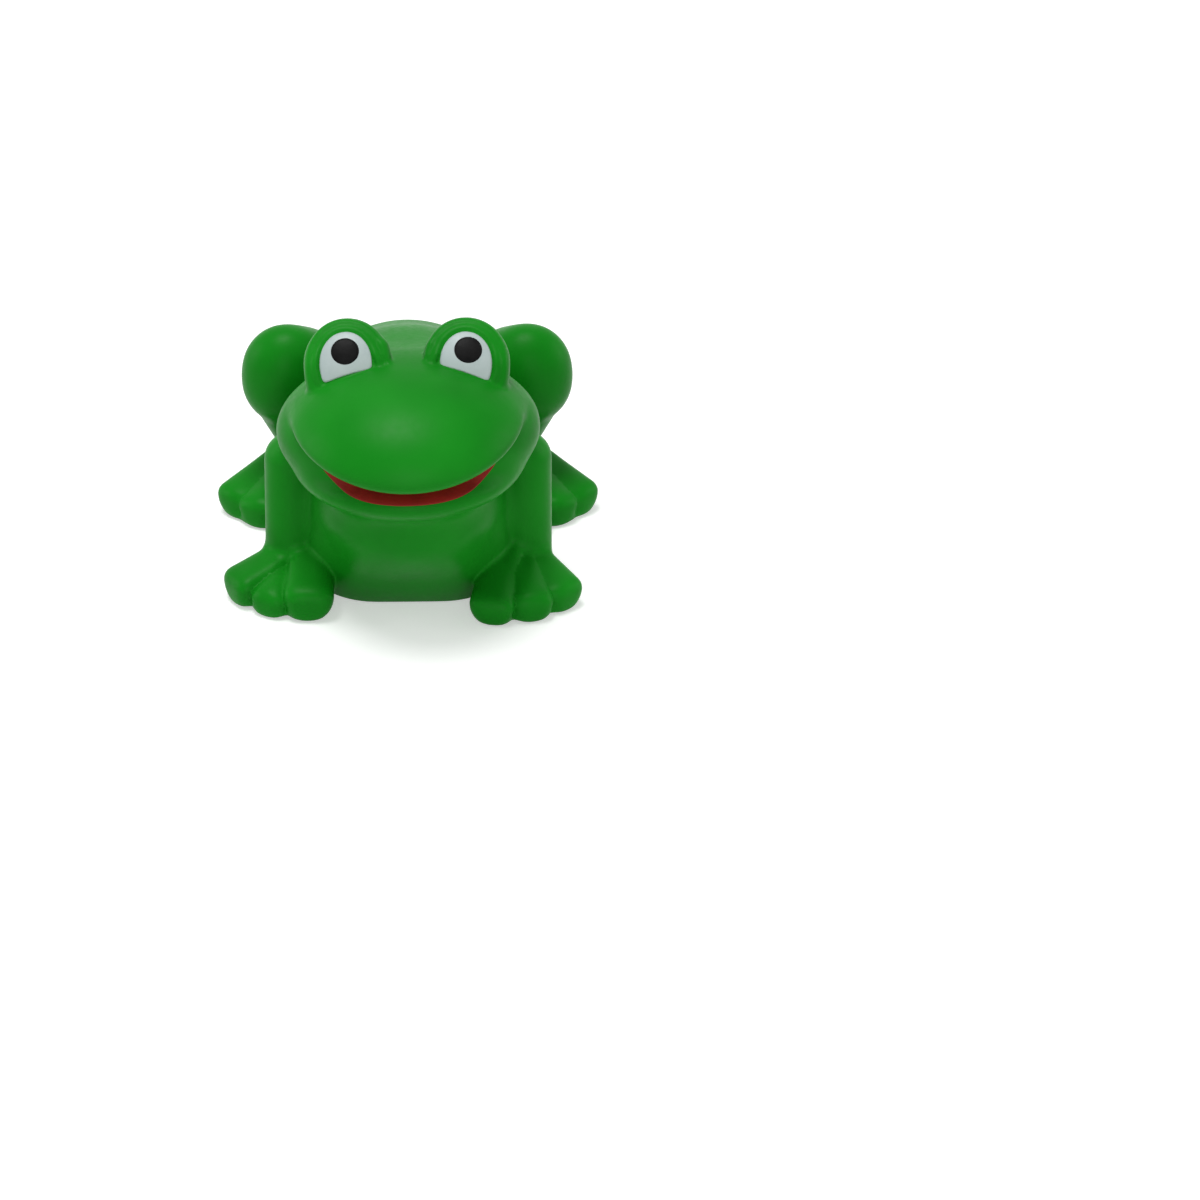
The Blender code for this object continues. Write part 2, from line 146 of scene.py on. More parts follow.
# Hind legs
THIGH_HIP = ((13.31, 24.93, 16.88), 9.37)
THIGH_KNEE = ((19.92, 19.44, 28.10), 7.98)
THIGH_GROOVE = 0.45
THIGH_GROOVE_WIDTH = 2.8
THIGH_GROOVE_IN = (14, 20)
THIGH_GROOVE_OUT = (24, 33)
THIGH_BLEND = 1.3
THIGH_BLEND_BEHIND = 3.5
THIGH_BLEND_Y = (25, 38)
THIGH_BLEND_BELOW = 1.8
THIGH_BLEND_Z = (1, 4)
KNEE = ((22.92, 15.79, 29.42), (8.47, 6.78, 9.27))
KNEE_BLEND = 3
SHIN_TOP = ((23.80, 17.26, 24.76), 6.34)
SHIN_BLEND = 0.9
SHIN_BLEND_MORE = 3.0
SHIN_BLEND_Z = (12, 26)
HEEL = ((17.64, 26.80, 4.84), 5.00)
HEEL_BLEND = 1.2
HIND_ROOT = ((20.4, 24.2), 5.35)
HIND_TOES = ((32.05, 13.75, 4.33), (28.07, 9.93, 4.33), (22.69, 6.19, 4.33))

# Feet: toes are (x, y, radius)
SOLE_SINK = 0.4  # how far the balls of the feet reach below the floor
TOE_SPLAY = 0.2  # spread of the roots, as a share of the tips'
TOE_ROOT = 0.86  # radius at the ankle, as a share of the root's
TOE_PUSH = 0.22  # length past the tip, in radii
TOE_FRONT = 0.85  # place of the blunt front past the tip, in radii
TOE_FRONT_ROUND = 1.8
TOE_FLAT = 0.2  # depth taken off the top
TOE_FALL = 0.28  # slope of the top
TOE_TOP_ROUND = 2.2
TOE_BLEND = 1.9
TOE_BLEND_LESS = 1.3
TOE_CLEAR_Z = (0.3, 2.6)  # heights between which the toes part
TOE_GROOVE = 0.5
TOE_GROOVE_WIDTH = 2.6
INSTEP_Z = 8.4
INSTEP_RADIUS = 3.9
INSTEP_BLEND = 1.0

# Paint films: PROUD is how far a film stands on the moulding, EDGE the share of its radius that falls off
WHITE_INSET = 0.12
WHITE_SILL = {1: (-4.05, -0.34), -1: (-4.2, -0.27)}
WHITE_BELOW_SPRING = 0.8
WHITE_REACH = 12.0
HALVINGS = 40
WHITE_CORNER_ROUND = 0.7
WHITE_PROUD = 0.08
WHITE_FALL = 0.12
WHITE_EDGE = (0.95, 1.0)
WHITE_THICKNESS = 0.7
WHITE_POINTS = 96
WHITE_RINGS = 24
PUPIL_RADIUS = 2.48
PUPIL_MIDDLE = {1: (0.25, 0.1), -1: (0.55, -0.1)}
PUPIL_PROUD = 0.20
PUPIL_FALL = 0.10
PUPIL_EDGE = (0.88, 1.0)
PUPIL_THICKNESS = 0.3
PUPIL_POINTS = 72
PUPIL_RINGS = 14
MOUTH_EDGE = 30.8
MOUTH_EDGE_RISE = 1.35
MOUTH_EDGE_AT = 14.0
MOUTH_EDGE_POWER = 4
MOUTH_BAND = 2.3
MOUTH_HALF = 16.2
MOUTH_PINCH = 0.97
MOUTH_PINCH_POWER = 10
MOUTH_PROUD = 0.07
MOUTH_THICKNESS = 0.5
MOUTH_COLUMNS = 160
MOUTH_ROWS = 14
MOUTH_START_Y = -46.0
MOUTH_STEPS = 160
MOUTH_STRIDE = 0.6

# Where the moulding is divided, as in the CAD bodies: distances along these directions.
NECK_UP = np.array((0, -0.507538, 0.861629))
NECK_TOP = 34.512
NECK_BOTTOM = 24.512
HIP_OUT = np.array((0.894934, 0.446198, 0))
HIP_OUTER = 27.04
HIP_INNER = 18.54
FORELEGS_END = -6.0
FORELEG_INNER = 6
FORELEG_BACK = 0
FORELEG_OUT = (0.94, -0.34, 0)
FORELEG_APEX = (18.5, -14.2, 6.5)

# The grid of the mesh
STEP = 0.45
BOX_LOW = (-41.0, -47.0, -1.6)
BOX_HIGH = (41.0, 42.0, 57.0)
BLOCK = 8
BLOCK_REACH = 1.3  # distance that counts as near, in blocks
BLOCKS_AT_ONCE = 400
PULLS = 2  # times that the points are moved on to the surface
LEAST_SLOPE = 0.1
TINY = 1e-6
SMALL = 1e-3
ON_PLANE = 1e-5
CAP_CLOSE = 1e-7
CAP_INSIDE = 1
ASKEW = (0.31, 0.17, 0.93)  # a direction that no cut faces
SIDES = ((1, "left"), (-1, "right"))


# Signed distances

def smin(a, b, k):
    """Two forms joined, blended over the width k."""
    h = np.maximum(k - np.abs(a - b), 0) / k
    return np.minimum(a, b) - h * h * k * 0.25


def smax(a, b, k):
    """What two forms share, with its edge rounded over the width k."""
    return -smin(-a, -b, k)


def seam(a, b, k, depth, width):
    """Two forms joined, with a moulded groove along the line where they meet."""
    near = np.maximum(1 - np.abs(a - b) / width, 0)
    return smin(a, b, k) + depth * near * near


def ramp(x, start, end):
    """A smooth rise from 0 to 1."""
    t = np.clip((x - start) / (end - start), 0, 1)
    return t * t * (3 - 2 * t)


def ellipsoid(p, form, pitch=0.0):
    """An ellipsoid, its front turned down by pitch degrees."""
    q = p - np.asarray(form[0], REAL)
    if pitch:
        c = math.cos(math.radians(pitch))
        s = math.sin(math.radians(pitch))
        y = c * q[..., 1] + s * q[..., 2]
        z = c * q[..., 2] - s * q[..., 1]
        q = np.stack((q[..., 0], y, z), -1)
    r = np.asarray(form[1], REAL)
    k0 = np.sqrt(((q / r) ** 2).sum(-1))
    k1 = np.sqrt(((q / (r * r)) ** 2).sum(-1))
    return k0 * (k0 - 1) / np.maximum(k1, TINY)


def limb(p, start, end):
    """Two balls and the cone between them."""
    a = np.asarray(start[0], REAL)
    ba = np.asarray(end[0], REAL) - a
    ra = start[1]
    rb = end[1]
    l2 = float(ba @ ba)
    rr = ra - rb
    a2 = l2 - rr * rr
    pa = p - a
    y = pa @ ba
    z = y - l2
    d = pa * l2 - y[..., None] * ba
    x2 = (d * d).sum(-1)
    y2 = y * y * l2
    z2 = z * z * l2
    k = np.sign(rr) * rr * rr * x2
    side = (np.sqrt(x2 * a2 / l2) + y * rr) / l2 - ra
    side = np.where(np.sign(z) * a2 * z2 > k, np.sqrt(x2 + z2) / l2 - rb, side)
    return np.where(np.sign(y) * a2 * y2 < k, np.sqrt(x2 + y2) / l2 - ra, side)


def stretched(q, form, flats):
    """Points for an ellipsoid with flat stretches put into its middle along some axes."""
    out = q.copy()
    for axis, half in enumerate(flats):
        if half:
            d = np.abs(q[..., axis] - form[0][axis]) - half
            out[..., axis] = form[0][axis] + 0.5 * (d + np.sqrt(d * d + FLAT_SOFT ** 2))
    return out


def torso(q):
    """Rump, belly, chest and nape, with a paunch whose front leans in towards the floor."""
    belly = ellipsoid(stretched(q, BELLY, BELLY_FLATS), BELLY)
    depth = 1 - (1 - PAUNCH_BASE) * np.clip(1 - q[..., 2] / PAUNCH_FULL, 0, 1) ** PAUNCH_BOW
    front = stretched(q, PAUNCH, PAUNCH_FLATS)
    front[..., 1] = PAUNCH[0][1] + (front[..., 1] - PAUNCH[0][1]) / depth
    paunch = ellipsoid(front, PAUNCH) * depth
    body = smin(ellipsoid(q, RUMP, RUMP_PITCH), belly, BELLY_BLEND)
    chest = smin(ellipsoid(q, CHEST), paunch, PAUNCH_BLEND)
    body = smin(body, chest, CHEST_BLEND)
    return smin(body, ellipsoid(q, NAPE), NAPE_BLEND)


def above_mouth(q):
    """Height above the curved line of the mouth."""
    rise = LIP_RISE * (q[..., 0] / LIP_RISE_AT) ** 2
    return q[..., 2] - (LIP_Z + rise + LIP_SLOPE * (q[..., 1] - LIP_SLOPE_FROM))


def snout(q):
    return smax(ellipsoid(q, SNOUT, SNOUT_PITCH), -above_mouth(q), LIP_ROUND)


def jaw(q):
    return ellipsoid(q, JAW, JAW_PITCH)


def head(q):
    cheeks = smin(ellipsoid(q, SKULL, SKULL_PITCH), jaw(q), JAW_BLEND)
    crease = SNOUT_CREASE + SNOUT_CREASE_MORE * ramp(q[..., 2], *SNOUT_CREASE_Z)
    return smin(cheeks, snout(q), crease)


def eye_axes(q):
    """Across, up along the painted face, and out of it."""
    d = q - np.asarray(EYE, REAL)
    s = math.sin(EYE_TILT)
    c = math.cos(EYE_TILT)
    return d[..., 0], s * d[..., 1] + c * d[..., 2], s * d[..., 2] - c * d[..., 1]


def eye_place(across, up, out):
    """Points from the left eye's own axes."""
    s = math.sin(EYE_TILT)
    c = math.cos(EYE_TILT)
    y = EYE[1] + s * up - c * out
    z = EYE[2] + c * up + s * out
    return np.stack((EYE[0] + across, y, z), -1)


def eye_face(across, up):
    """How far out the domed painted face lies."""
    return EYE_FACE_HEIGHT - (across ** 2 + (up - EYE_FACE_MID) ** 2) / (2 * EYE_FACE_RADIUS)


def eye_arch(across, up, offset):
    """Distance from the arch that bounds the painted face."""
    rise = up - ARCH_SPRING
    share = np.where(rise > 0, ARCH_RISE, ARCH_DROP)
    reach = np.hypot(across - offset, share * rise)
    slope = np.hypot(across - offset, share * share * rise)
    return (reach - ARCH_RADIUS) * reach / np.maximum(slope, SMALL)


def eye(p, q):
    """The bump of an eye, cut off at the painted face, with a rolled lid around it."""
    across, up, out = eye_axes(q)
    left = p[..., 0] > 0
    offset = np.where(left, REAL(ARCH_OFFSET[1]), REAL(ARCH_OFFSET[-1]))
    radius = np.where(left, REAL(LID_RADIUS[1]), REAL(LID_RADIUS[-1]))
    local = np.stack((across, up, out), -1)
    ball = ellipsoid(local, ((0, 0, EYE_BALL_AHEAD), EYE_BALL))
    ball = smin(ball, limb(local, *LID_WEDGE), LID_WEDGE_BLEND)
    face = eye_face(across, up)
    ball = smax(ball, out - face + EYE_FACE_SINK, EYE_FACE_ROUND)
    flare = np.where(across < 0, LID_FLARE * np.maximum(LID_FLARE_TOP - up, 0), 0)
    edge = eye_arch(across + flare, up, offset) - radius + LID_BITE
    low = LID_SINK_LOW * ramp(-up, *LID_SINK_LOW_IN)
    sink = LID_SINK + low + LID_SINK_TOP * ramp(up, *LID_SINK_TOP_IN)
    lid = np.hypot(edge, out - face + sink) - radius
    lid = np.maximum(lid, -up - LID_REACH)
    lid = smin(lid, limb(local, *LID_TAIL), LID_TAIL_BLEND)
    return smin(ball, lid, LID_BLEND + LID_BLEND_MORE * ramp(edge, *LID_BLEND_OUT))


def foot(q, root, toes):
    """Three toes side by side from the ankle, each with a blunt front and a flattened top."""
    middle = np.array(root[0])
    tips = np.array(toes)[:, :2]
    f = None
    clear = ramp(q[..., 2], *TOE_CLEAR_Z)
    blend = TOE_BLEND - TOE_BLEND_LESS * clear
    for tip, (_, _, r) in zip(tips, toes):
        start = middle + TOE_SPLAY * (tip - tips.mean(0))
        length = float(np.hypot(*(tip - start)))
        way = ((tip - start) / length).astype(REAL)
        end = tip + TOE_PUSH * r * way
        heel = ((*start, TOE_ROOT * root[1] - SOLE_SINK), TOE_ROOT * root[1])
        front = ((*end, r - SOLE_SINK), r)
        instep = ((*start, INSTEP_Z), INSTEP_RADIUS)
        toe = smin(limb(q, heel, front), limb(q, instep, front), INSTEP_BLEND)
        along = (q[..., 0] - start[0]) * way[0] + (q[..., 1] - start[1]) * way[1] - length
        toe = smax(toe, along - TOE_FRONT * r, TOE_FRONT_ROUND)
        top = q[..., 2] - (2 * r - SOLE_SINK - TOE_FLAT - TOE_FALL * (along + r))
        toe = smax(toe, top, TOE_TOP_ROUND)
        f = toe if f is None else seam(f, toe, blend, TOE_GROOVE * clear, TOE_GROOVE_WIDTH)
    return f


def foreleg(q, toes):
    return smin(limb(q, SHOULDER, WRIST), foot(q, FORE_ROOT, toes), WRIST_BLEND)


def hind_leg(q):
    thigh = smin(limb(q, THIGH_HIP, THIGH_KNEE), ellipsoid(q, KNEE), KNEE_BLEND)
    fold = SHIN_BLEND + SHIN_BLEND_MORE * ramp(q[..., 2], *SHIN_BLEND_Z)
    leg = smin(thigh, limb(q, SHIN_TOP, HEEL), fold)
    return smin(leg, foot(q, HIND_ROOT, HIND_TOES), HEEL_BLEND)


def mirrored(p):
    """Points with both sides laid on the left one."""
    q = p.copy()
    q[..., 0] = np.abs(q[..., 0])
    return q


def rolled(p):
    """Points in the head's own axes; the head leans a little to one side."""
    c = math.cos(HEAD_ROLL)
    s = math.sin(HEAD_ROLL)
    x = c * p[..., 0] + s * (p[..., 2] - HEAD_PIVOT)
    z = c * (p[..., 2] - HEAD_PIVOT) - s * p[..., 0] + HEAD_PIVOT
    return np.stack((x, p[..., 1], z), -1)


def forelegs(p, q):
    """Both forelegs; their feet are turned out by different amounts."""
    left = p[..., 0] >= 0
    f = np.empty(left.shape, REAL)
    f[left] = foreleg(q[left], LEFT_FORE_TOES)
    f[~left] = foreleg(q[~left], RIGHT_FORE_TOES)
    return f


def frog(p):
    """The whole moulding, cut off at the floor."""
    q = mirrored(p)
    groove = THIGH_GROOVE * ramp(q[..., 1], *THIGH_GROOVE_IN) * (1 - ramp(q[..., 1], *THIGH_GROOVE_OUT))
    behind = THIGH_BLEND_BEHIND * ramp(q[..., 1], *THIGH_BLEND_Y)
    below = THIGH_BLEND_BELOW * (1 - ramp(q[..., 2], *THIGH_BLEND_Z))
    fold = THIGH_BLEND + behind + below
    body = seam(torso(q), hind_leg(q), fold, groove, THIGH_GROOVE_WIDTH)
    armpit = FORELEG_BLEND + FORELEG_BLEND_MORE * ramp(q[..., 2], *FORELEG_BLEND_Z)
    body = smin(body, forelegs(p, q), armpit)
    throat = THROAT_BLEND * (1 - ramp(q[..., 0], *THROAT_X))
    neck = NECK_BLEND * ramp(q[..., 1], *NECK_Y)
    body = smin(body, head(mirrored(rolled(p))), HEAD_BLEND + np.maximum(throat, neck))
    body = smin(body, eye(p, q), EYE_BLEND)
    return smax(body, -p[..., 2], BASE_ROUND)


# Meshing

def field(fn, low, high, step):
    """The distance on a grid, worked out only in the blocks near the surface."""
    blocks = [int(math.ceil((b - a) / step / BLOCK)) for a, b in zip(low, high)]
    out = np.empty([n * BLOCK for n in blocks], REAL)
    index = np.stack(np.meshgrid(*[np.arange(n) for n in blocks], indexing="ij"), -1).reshape(-1, 3)
    low = np.asarray(low, REAL)
    rough = fn((low + (index + 0.5) * BLOCK * step).astype(REAL))
    reach = BLOCK * step * BLOCK_REACH
    cells = np.stack(np.meshgrid(*[np.arange(BLOCK)] * 3, indexing="ij"), -1).reshape(-1, 3)
    near = np.abs(rough) < reach
    view = out.reshape(blocks[0], BLOCK, blocks[1], BLOCK, blocks[2], BLOCK).transpose(0, 2, 4, 1, 3, 5)
    view[...] = np.where(rough < 0, -reach, reach).reshape(blocks)[..., None, None, None]
    index = index[near]
    for i in range(0, len(index), BLOCKS_AT_ONCE):
        part = index[i:i + BLOCKS_AT_ONCE]
        p = low + (part[:, None] * BLOCK + cells[None]) * REAL(step)
        view[tuple(part.T)] = fn(p.astype(REAL)).reshape(-1, BLOCK, BLOCK, BLOCK)
    return out


def surface(fn, low, high, step):
    """Surface nets: one point in each cell that the surface crosses, moved on to it, and the triangles."""
    grid = field(fn, low, high, step)
    inside = grid < 0
    nx, ny, nz = np.array(grid.shape) - 1
    count = np.zeros((nx, ny, nz), np.int8)
    for i in (0, 1):
        for j in (0, 1):
            for k in (0, 1):
                count += inside[i:i + nx, j:j + ny, k:k + nz]
    cells = np.argwhere((count > 0) & (count < 8))
    index = np.full((nx, ny, nz), -1, np.int64)
    index[tuple(cells.T)] = np.arange(len(cells))
    total = np.zeros((len(cells), 3))
    hits = np.zeros(len(cells))
    for axis in range(3):
        one, two = [a for a in range(3) if a != axis]
        for u in (0, 1):
            for v in (0, 1):
                start = cells.copy()
                start[:, one] += u
                start[:, two] += v
                end = start.copy()
                end[:, axis] += 1
                f0 = grid[tuple(start.T)]
                f1 = grid[tuple(end.T)]
                cross = (f0 < 0) != (f1 < 0)
                place = start + 0.0
                place[:, axis] += np.where(cross, f0 / np.where(cross, f0 - f1, 1), 0)
                total += np.where(cross[:, None], place, 0)
                hits += cross
    points = (np.asarray(low) + step * total / hits[:, None]).astype(REAL)
    quads = []
    for axis in range(3):
        one, two = [(1, 2), (2, 0), (0, 1)][axis]
        a = np.take(inside, range(0, inside.shape[axis] - 1), axis)
        b = np.take(inside, range(1, inside.shape[axis]), axis)
        edge = np.argwhere(a != b)
        ring = []
        for d1, d2 in ((1, 1), (0, 1), (0, 0), (1, 0)):
            c = edge.copy()
            c[:, one] -= d1
            c[:, two] -= d2
            ring.append(index[tuple(c.T)])
        ring = np.stack(ring, 1)
        back = ~a[tuple(edge.T)]
        ring[back] = ring[back][:, ::-1]
        quads.append(ring)
    quads = np.concatenate(quads)
    for _ in range(PULLS):
        g = gradient(fn, points)
        points = points - (fn(points) / np.maximum((g * g).sum(1), LEAST_SLOPE))[:, None] * g
    short = np.linalg.norm(points[quads[:, 0]] - points[quads[:, 2]], axis=1)
    long = np.linalg.norm(points[quads[:, 1]] - points[quads[:, 3]], axis=1)
    turn = short > long
    first = np.where(turn[:, None], quads[:, (0, 1, 3)], quads[:, (0, 1, 2)])
    second = np.where(turn[:, None], quads[:, (1, 2, 3)], quads[:, (0, 2, 3)])
    return points, np.concatenate((first, second))


def gradient(fn, points, h=0.04):
    g = np.empty_like(points)
    for i in range(3):
        d = np.zeros(3, REAL)
        d[i] = h
        g[:, i] = (fn(points + d) - fn(points - d)) / (2 * h)
    return g


# Dividing the moulding

class Moulding:
    """Shared points, cut into closed pieces whose borders hold the same points."""

    def __init__(self, points):
        self.points = points.astype(float)
        self.flats = []

    def cut(self, piece, value, out, apex=None):
        """Splits a piece where value, one number for each point, changes sign.
        Returns (above, below), capped. The caps are flat, across out, or are cones that end in apex."""
        tris, flat = piece
        used = np.unique(tris)
        value = value.copy()
        close = used[np.abs(value[used]) < ON_PLANE]
        value[close] = 0
        sign = np.sign(value).astype(int)[tris]
        above = (sign >= 0).all(1) & (sign > 0).any(1)
        below = (sign <= 0).all(1)
        mixed = ~(above | below)
        t = tris[mixed]
        s = sign[mixed]
        f = flat[mixed]
        touching = (s == 0).any(1)
        lone = np.where(touching, np.argmax(s == 0, 1), np.argmax(s == -np.sign(s.sum(1))[:, None], 1))
        order = (lone[:, None] + np.arange(3)) % 3
        t = np.take_along_axis(t, order, 1)
        s = np.take_along_axis(s, order, 1)
        ends = np.concatenate((t[touching][:, 1:], t[~touching][:, :2], t[~touching][:, ::2]))
        pairs, where = np.unique(np.sort(ends, 1), axis=0, return_inverse=True)
        where = where.reshape(-1) + len(self.points)
        a = value[pairs[:, 0]]
        share = (a / (a - value[pairs[:, 1]]))[:, None]
        fresh = self.points[pairs[:, 0]] * (1 - share) + self.points[pairs[:, 1]] * share
        on = np.zeros(len(self.points) + len(fresh), bool)
        on[close] = True
        on[len(self.points):] = True
        self.points = np.concatenate((self.points, fresh))
        if apex is not None:
            self.points = np.concatenate((self.points, [apex]))
            on = np.append(on, False)
        n0 = touching.sum()
        n1 = (~touching).sum()
        mid = where[:n0]
        p01 = where[n0:n0 + n1]
        p02 = where[n0 + n1:]
        t0 = t[touching]
        t1 = t[~touching]
        parts = [
            (np.stack((t0[:, 0], t0[:, 1], mid), 1), s[touching][:, 1], f[touching]),
            (np.stack((t0[:, 0], mid, t0[:, 2]), 1), s[touching][:, 2], f[touching]),
            (np.stack((t1[:, 0], p01, p02), 1), s[~touching][:, 0], f[~touching]),
            (np.stack((p01, t1[:, 1], t1[:, 2]), 1), s[~touching][:, 1], f[~touching]),
            (np.stack((p01, t1[:, 2], p02), 1), s[~touching][:, 1], f[~touching]),
        ]
        sides = []
        for whole, way in ((above, 1), (below, -1)):
            tt = np.concatenate([tris[whole]] + [x[y == way] for x, y, z in parts])
            ff = np.concatenate([flat[whole]] + [z[y == way] for x, y, z in parts])
            sides.append(self.capped(tt, ff, on, -way * np.asarray(out, float), apex is not None))
        return sides

    def capped(self, tris, flat, on, outward, cone):
        """Closes the open rim that a cut leaves, without adding points on it."""
        edges = np.concatenate((tris[:, :2], tris[:, 1:], tris[:, ::-2]))
        edges = edges[on[edges].all(1)]
        _, first, count = np.unique(np.sort(edges, 1), axis=0, return_index=True, return_counts=True)
        rim = edges[first[count == 1]]
        self.flats.append(outward)
        if cone:
            cap = np.column_stack((rim[:, ::-1], np.full(len(rim), len(self.points) - 1)))
            mark = np.full(len(cap), len(self.flats) - 1)
            return np.concatenate((tris, cap)), np.concatenate((flat, mark))
        ids, local = np.unique(rim, return_inverse=True)
        e1 = np.cross(outward, ASKEW)
        e1 = e1 / np.linalg.norm(e1)
        e2 = np.cross(outward, e1)
        plane = np.stack((self.points[ids] @ e1, self.points[ids] @ e2), 1)
        corners = [Vector(c) for c in plane]
        made = delaunay_2d_cdt(corners, local.reshape(-1, 2).tolist(), [], CAP_INSIDE, CAP_CLOSE)
        source = [s[0] if s else int(((plane - c) ** 2).sum(1).argmin()) for s, c in zip(made[3], made[0])]
        cap = np.array([[ids[source[i]] for i in face] for face in made[2]], int).reshape(-1, 3)
        cap = cap[(cap != np.roll(cap, 1, 1)).all(1)]
        mark = np.full(len(cap), len(self.flats) - 1)
        return np.concatenate((tris, cap)), np.concatenate((flat, mark))


def new_object(name, points, faces, normals=None):
    """A mesh object from millimetres, with a normal for each face corner if they are given."""
    mesh = bpy.data.meshes.new(name)
    mesh.from_pydata((np.asarray(points, float) * MM).tolist(), [], [tuple(int(i) for i in f) for f in faces])
    mesh.shade_smooth()
    if normals is not None:
        mesh.normals_split_custom_set(normals.tolist())
    obj = bpy.data.objects.new(name, mesh)
    bpy.context.scene.collection.objects.link(obj)
    return obj


def divide():
    """The moulding as nine closed pieces, cut at the hips, the neck and the roots of the forelegs."""
    points, tris = surface(frog, BOX_LOW, BOX_HIGH, STEP)
    moulding = Moulding(points)
    rest = (tris, np.full(len(tris), -1))
    pieces = {}
    for side, name in SIDES:
        way = HIP_OUT * (side, 1, 1)
        reach = moulding.points @ way - HIP_INNER
        reach[moulding.points[:, 1] < FORELEGS_END] = -1
        outer, rest = moulding.cut(rest, reach, way)
        leg, band = moulding.cut(outer, moulding.points @ way - HIP_OUTER, way)
        pieces[name + "_leg_form"] = leg
        pieces[name + "_hip_band"] = band
    pieces["head_form"], rest = moulding.cut(rest, moulding.points @ NECK_UP - NECK_TOP, NECK_UP)
    pieces["neck_band"], rest = moulding.cut(rest, moulding.points @ NECK_UP - NECK_BOTTOM, NECK_UP)
    for side, name in SIDES:
        p = moulding.points.astype(REAL)
        q = mirrored(p)
        value = (torso(q) - forelegs(p, q)).astype(float)
        value[(p[:, 0] * side < FORELEG_INNER) | (p[:, 1] > FORELEG_BACK)] = -1
        way = np.multiply(FORELEG_OUT, (side, 1, 1))
        apex = np.multiply(FORELEG_APEX, (side, 1, 1))
        pieces[name + "_foreleg_form"], rest = moulding.cut(rest, value, way, apex)
    pieces["torso_form"] = rest
    smooth = gradient(frog, moulding.points.astype(REAL)).astype(float)
    smooth /= np.maximum(np.linalg.norm(smooth, axis=1), TINY)[:, None]
    flats = np.array(moulding.flats)
    made = {}
    for name, (faces, flat) in pieces.items():
        used, local = np.unique(faces, return_inverse=True)
        corner = smooth[faces]
        corner[flat >= 0] = flats[flat[flat >= 0]][:, None]
        made[name] = new_object(name, moulding.points[used], local.reshape(-1, 3), corner.reshape(-1, 3))
    return made


# Paint films

def film(name, outline, rings, top, thickness, side):
    """A closed thin plate on the painted face of an eye: outline is (across, up) around its middle."""
    middle = outline.mean(0)
    count = len(outline)
    share = np.linspace(0, 1, rings + 1)[1:]
    flat = np.concatenate([[middle]] + [middle + (outline - middle) * s for s in share])
    level = np.concatenate([[0]] + [np.full(count, s) for s in share])
    height = top(flat[:, 0], flat[:, 1], level)
    upper = eye_place(flat[:, 0], flat[:, 1], height)
    lower = eye_place(flat[:, 0], flat[:, 1], eye_face(flat[:, 0], flat[:, 1]) - thickness)
    n = len(flat)
    faces = []
    for ring in range(rings):
        for i in range(count):
            j = (i + 1) % count
            a = 1 + ring * count + i
            b = 1 + ring * count + j
            if ring == 0:
                faces.append((0, a, b))
                faces.append((n, n + b, n + a))
            else:
                faces.append((a - count, a, b, b - count))
                faces.append((n + a - count, n + b - count, n + b, n + a))
    last = 1 + (rings - 1) * count
    for i in range(count):
        j = (i + 1) % count
        faces.append((last + i, n + last + i, n + last + j, last + j))
    points = np.concatenate((upper, lower))
    if side < 0:
        points = points * (-1, 1, 1)
        faces = [f[::-1] for f in faces]
    return new_object(name, points, faces)


def white_outline(count, side):
    """The painted white: the arch inside the lid, with a slanting lower edge and rounded corners."""
    angle = np.linspace(0, 2 * math.pi, count, endpoint=False)
    middle = ARCH_SPRING - WHITE_BELOW_SPRING
    sill, slant = WHITE_SILL[side]
    near = np.zeros(count)
    far = np.full(count, WHITE_REACH)
    for _ in range(HALVINGS):
        r = 0.5 * (near + far)
        across = ARCH_OFFSET[side] + r * np.cos(angle)
        up = middle + r * np.sin(angle)
        inside = eye_arch(across, up, ARCH_OFFSET[side]) + WHITE_INSET
        inside = smax(inside, sill + slant * across - up, WHITE_CORNER_ROUND)
        near = np.where(inside < 0, r, near)
        far = np.where(inside < 0, far, r)
    return np.stack((ARCH_OFFSET[side] + near * np.cos(angle), middle + near * np.sin(angle)), 1)


def pupil_outline(count, side):
    angle = np.linspace(0, 2 * math.pi, count, endpoint=False)
    across, up = PUPIL_MIDDLE[side]
    return np.stack((across + PUPIL_RADIUS * np.cos(angle), up + PUPIL_RADIUS * np.sin(angle)), 1)


def white_top(across, up, level):
    return eye_face(across, up) + WHITE_PROUD - WHITE_FALL * ramp(level, *WHITE_EDGE)


def pupil_top(across, up, level):
    return eye_face(across, up) + PUPIL_PROUD - PUPIL_FALL * ramp(level, *PUPIL_EDGE)


